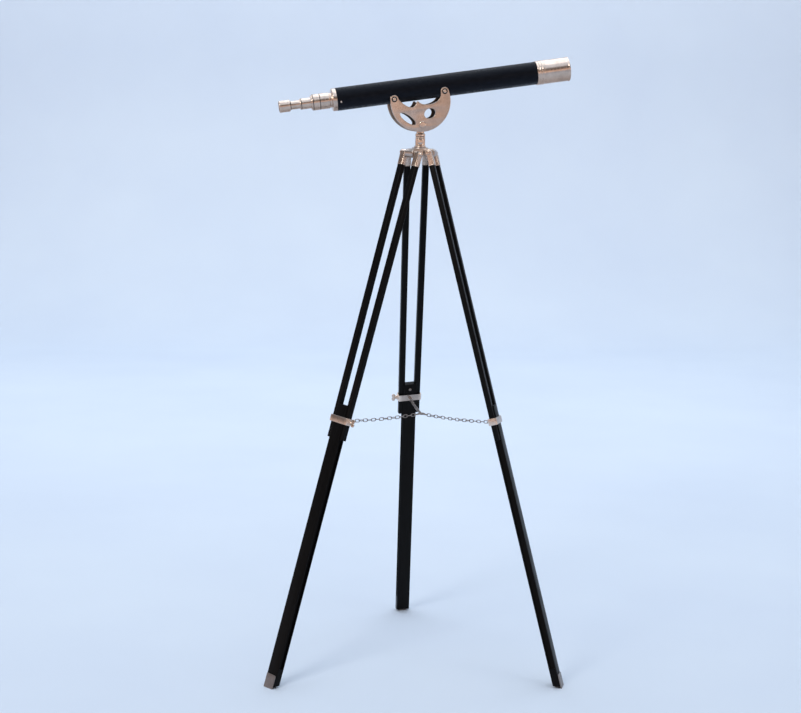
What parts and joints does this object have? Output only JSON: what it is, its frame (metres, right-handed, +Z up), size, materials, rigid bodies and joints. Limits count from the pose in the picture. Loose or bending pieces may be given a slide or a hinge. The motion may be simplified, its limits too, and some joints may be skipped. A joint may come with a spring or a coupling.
{
  "type": "telescope on tripod",
  "caption": "Floor-standing refractor telescope with nested draw tubes on a crescent yoke, over a folding wooden tripod with sliding legs and a spreader chain.",
  "frame": {"origin": "middle of the overall box, on the floor", "axes": "+Z up; the tripod's back foot towards +Y; the objective end towards +X and slightly +Y"},
  "size_m": [0.8018, 0.6974, 1.6573],
  "materials": {
    "black_wood": "black satin lacquer",
    "nickel": "warm brushed nickel plate on brass",
    "leather": "black grained leather",
    "tube_brass": "plain drawn tube",
    "glass": "coated lens"
  },
  "bodies": {
    "hub": {"hub": "nickel", "pan_socket": "nickel"},
    "leg_upper_left": {"slat_left_a": "black_wood", "slat_left_b": "black_wood", "ferrule_left_a": "nickel", "ferrule_left_b": "nickel", "hinge_bolt_left": "nickel", "clamp_band_left": "nickel"},
    "leg_lower_left": {"lower_leg_left": "black_wood", "guide_screw_left": "nickel", "foot_shoe_left": "nickel"},
    "clamp_screw_left": {"clamp_screw_left": "nickel"},
    "chain_left": {"chain_left": "nickel"},
    "leg_upper_back": {"slat_back_a": "black_wood", "slat_back_b": "black_wood", "ferrule_back_a": "nickel", "ferrule_back_b": "nickel", "hinge_bolt_back": "nickel", "clamp_band_back": "nickel"},
    "leg_lower_back": {"lower_leg_back": "black_wood", "guide_screw_back": "nickel", "foot_shoe_back": "nickel"},
    "clamp_screw_back": {"clamp_screw_back": "nickel"},
    "chain_back": {"chain_back": "nickel", "chain_ring": "nickel"},
    "leg_upper_right": {"slat_right_a": "black_wood", "slat_right_b": "black_wood", "ferrule_right_a": "nickel", "ferrule_right_b": "nickel", "hinge_bolt_right": "nickel", "clamp_band_right": "nickel"},
    "leg_lower_right": {"lower_leg_right": "black_wood", "guide_screw_right": "nickel", "foot_shoe_right": "nickel"},
    "clamp_screw_right": {"clamp_screw_right": "nickel"},
    "chain_right": {"chain_right": "nickel"},
    "pan_lock_screw": {"pan_lock_screw": "nickel"},
    "pan_head": {"yoke_stem": "nickel"},
    "scope": {"cheek_near": "nickel", "cheek_far": "nickel", "tilt_bolt": "nickel", "yoke_screw_near_rear": "nickel", "yoke_screw_near_front": "nickel", "yoke_screw_far_rear": "nickel", "yoke_screw_far_front": "nickel", "barrel_tube": "tube_brass", "leather_sleeve": "leather", "objective_cell": "nickel", "objective_lens": "glass", "lens_ring": "nickel", "rear_flange": "nickel", "flange_screw": "nickel"},
    "tilt_knob": {"tilt_knob": "nickel"},
    "draw_tube_1": {"draw_tube_1": "nickel"},
    "draw_tube_2": {"draw_tube_2": "nickel"},
    "eyepiece": {"draw_tube_3": "nickel", "eye_cup": "nickel", "eye_lens": "glass"}
  },
  "joints": [
    {"name": "fold_left", "type": "hinge", "parent": "hub", "child": "leg_upper_left", "pos_m": [-0.0225, -0.12886, 1.398], "axis": [0.655, -0.7532, -0.0604], "range_deg": [0, 16]},
    {"name": "extend_left", "type": "slide", "parent": "leg_upper_left", "child": "leg_lower_left", "axis": [0.2453, 0.1363, 0.9598], "range_m": [-0.008, 0.6]},
    {"name": "clamp_turn_left", "type": "hinge", "parent": "leg_upper_left", "child": "clamp_screw_left", "pos_m": [-0.20107, -0.22812, 0.69925], "axis": [0.655, -0.7532, -0.0604], "range_deg": [0, 360]},
    {"name": "chain_swing_left", "type": "hinge", "parent": "leg_upper_left", "child": "chain_left", "pos_m": [-0.18817, -0.2165, 0.69431], "axis": [-0.4637, 0.886, 0], "range_deg": [0, 104]},
    {"name": "fold_back", "type": "hinge", "parent": "hub", "child": "leg_upper_back", "pos_m": [-0.00537, -0.07615, 1.398], "axis": [-0.9798, -0.1907, -0.0604], "range_deg": [0, 16]},
    {"name": "extend_back", "type": "slide", "parent": "leg_upper_back", "child": "leg_lower_back", "axis": [-0.0046, -0.2806, 0.9598], "range_m": [-0.008, 0.6]},
    {"name": "clamp_turn_back", "type": "hinge", "parent": "leg_upper_back", "child": "clamp_screw_back", "pos_m": [-0.00205, 0.12813, 0.69925], "axis": [-0.9798, -0.1907, -0.0604], "range_deg": [0, 360]},
    {"name": "chain_swing_back", "type": "hinge", "parent": "leg_upper_back", "child": "chain_back", "pos_m": [0.00156, 0.11115, 0.69431], "axis": [0.9971, 0.0759, 0], "range_deg": [0, 104]},
    {"name": "fold_right", "type": "hinge", "parent": "hub", "child": "leg_upper_right", "pos_m": [0.03171, -0.11734, 1.398], "axis": [0.3248, 0.9439, -0.0604], "range_deg": [0, 16]},
    {"name": "extend_right", "type": "slide", "parent": "leg_upper_right", "child": "leg_lower_right", "axis": [-0.2407, 0.1443, 0.9598], "range_m": [-0.008, 0.6]},
    {"name": "clamp_turn_right", "type": "hinge", "parent": "leg_upper_right", "child": "clamp_screw_right", "pos_m": [0.20696, -0.22235, 0.69925], "axis": [0.3248, 0.9439, -0.0604], "range_deg": [0, 360]},
    {"name": "chain_swing_right", "type": "hinge", "parent": "leg_upper_right", "child": "chain_right", "pos_m": [0.19045, -0.21699, 0.69431], "axis": [-0.5333, -0.8459, 0], "range_deg": [0, 104]},
    {"name": "pan", "type": "hinge", "parent": "hub", "child": "pan_head", "pos_m": [0.00128, -0.10745, 1.441], "axis": [0, 0, 1], "continuous": true},
    {"name": "pan_lock_turn", "type": "hinge", "parent": "hub", "child": "pan_lock_screw", "pos_m": [0.00128, -0.10745, 1.428], "axis": [-0.0349, -0.9994, 0], "range_deg": [0, 360]},
    {"name": "tilt", "type": "hinge", "parent": "pan_head", "child": "scope", "pos_m": [0.00128, -0.10745, 1.4735], "axis": [0.1097, -0.994, 0], "range_deg": [-50, 55]},
    {"name": "tilt_knob_turn", "type": "hinge", "parent": "scope", "child": "tilt_knob", "pos_m": [0.00128, -0.10745, 1.4735], "axis": [-0.1097, 0.994, 0], "range_deg": [0, 360]},
    {"name": "draw_1_slide", "type": "slide", "parent": "scope", "child": "draw_tube_1", "axis": [-0.9836, -0.1086, -0.1444], "range_m": [-0.002, 0.09]},
    {"name": "draw_2_slide", "type": "slide", "parent": "draw_tube_1", "child": "draw_tube_2", "axis": [-0.9836, -0.1086, -0.1444], "range_m": [-0.025, 0.09]},
    {"name": "focus_slide", "type": "slide", "parent": "draw_tube_2", "child": "eyepiece", "axis": [-0.9836, -0.1086, -0.1444], "range_m": [-0.024, 0.09]}
  ],
  "couplings": [
    {"joint": "chain_swing_left", "follows": "fold_left", "ratio": 6.5},
    {"joint": "chain_swing_back", "follows": "fold_back", "ratio": 6.5},
    {"joint": "chain_swing_right", "follows": "fold_right", "ratio": 6.5}
  ]
}
